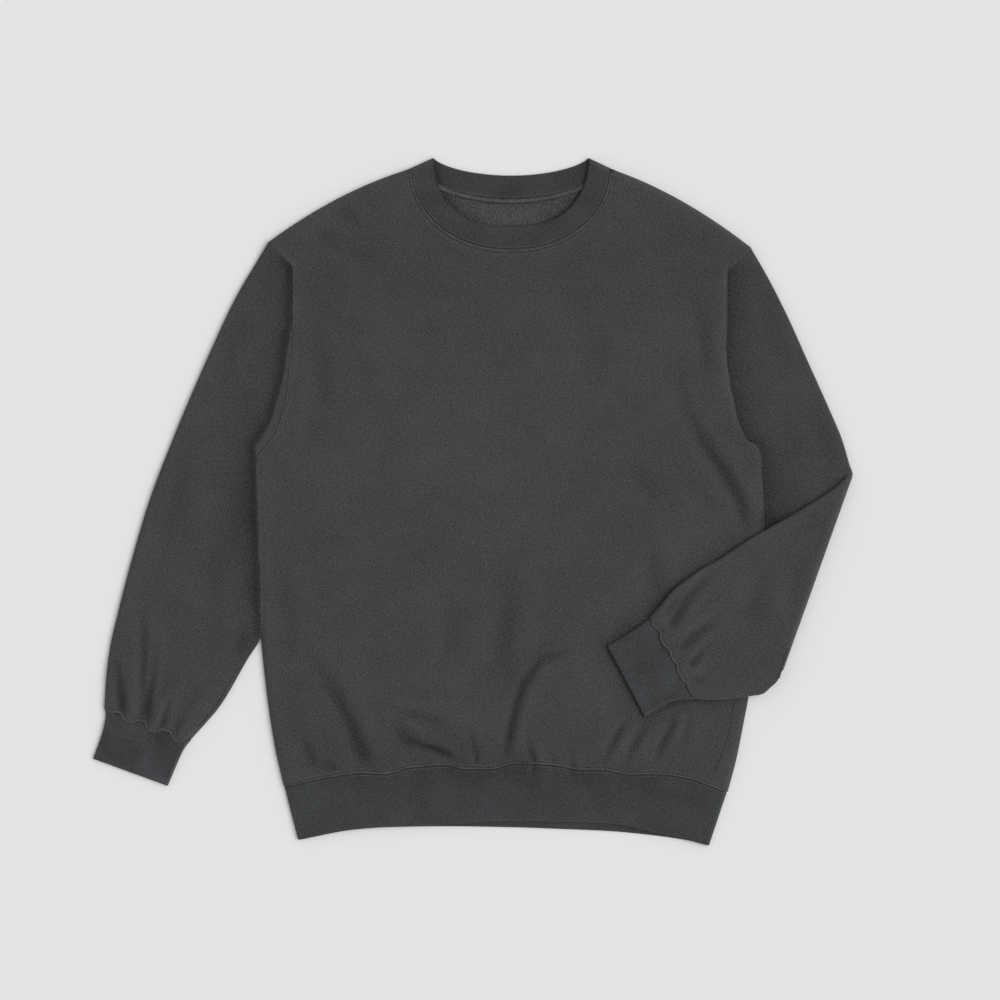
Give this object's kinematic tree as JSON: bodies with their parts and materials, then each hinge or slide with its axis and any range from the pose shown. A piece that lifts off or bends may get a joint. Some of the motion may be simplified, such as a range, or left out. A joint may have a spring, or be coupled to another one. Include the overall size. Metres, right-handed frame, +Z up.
{
  "type": "crewneck sweatshirt",
  "caption": "Charcoal fleece crewneck sweatshirt laid flat, front side up, one sleeve straight and one folded across the lower front, with rib collar, cuffs and hem.",
  "frame": {"origin": "middle of the garment's bounding box, on the surface it lies on", "axes": "+Z up, away from the surface; +Y from the hem towards the neck; +X towards the folded sleeve"},
  "size_m": [0.8028, 0.7256, 0.0135],
  "materials": {
    "fleece": "garment-dyed brushed cotton fleece with a soft nap",
    "rib": "garment-dyed cotton rib knit"
  },
  "bodies": {
    "root": {"front": "fleece", "back": "fleece", "sleeve_straight": "fleece", "sleeve_folded": "fleece", "cuff_straight": "rib", "cuff_folded": "rib", "collar": "rib", "hem_band": "rib"}
  },
  "joints": []
}
